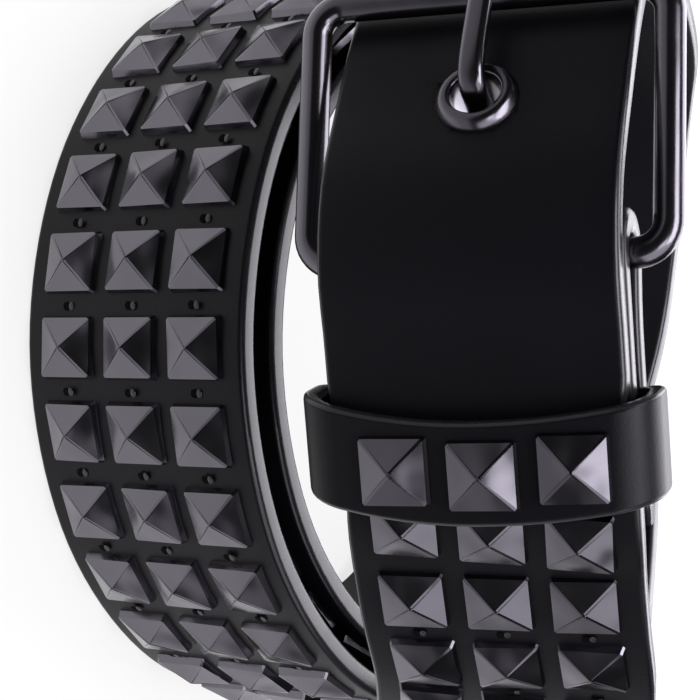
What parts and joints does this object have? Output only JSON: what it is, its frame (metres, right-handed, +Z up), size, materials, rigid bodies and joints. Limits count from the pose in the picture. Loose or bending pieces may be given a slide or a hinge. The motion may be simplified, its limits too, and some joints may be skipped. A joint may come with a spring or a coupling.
{
  "type": "studded belt",
  "caption": "Black belt covered in rows of pyramid studs, fastened by a frame buckle, its end in a studded keeper, standing coiled on its edge",
  "frame": {"origin": "on the floor, under the middle of the whole coiled belt", "axes": "+Z up along the coil's axis, -Y towards the buckle, +X from the buckle towards the keeper"},
  "size_m": [0.1254, 0.1316, 0.0973],
  "materials": {
    "strap": "smooth semi-gloss",
    "keeper": "smooth semi-gloss",
    "metal": "gloss black"
  },
  "bodies": {
    "root": {"studded_strap": "strap", "keeper_loop": "keeper", "buckle_frame": "metal", "prong": "metal", "eyelet_1": "metal", "eyelet_2": "metal", "eyelet_3": "metal", "eyelet_4": "metal", "eyelet_5": "metal", "tab_rivet_1": "metal", "tab_rivet_2": "metal"}
  },
  "joints": []
}
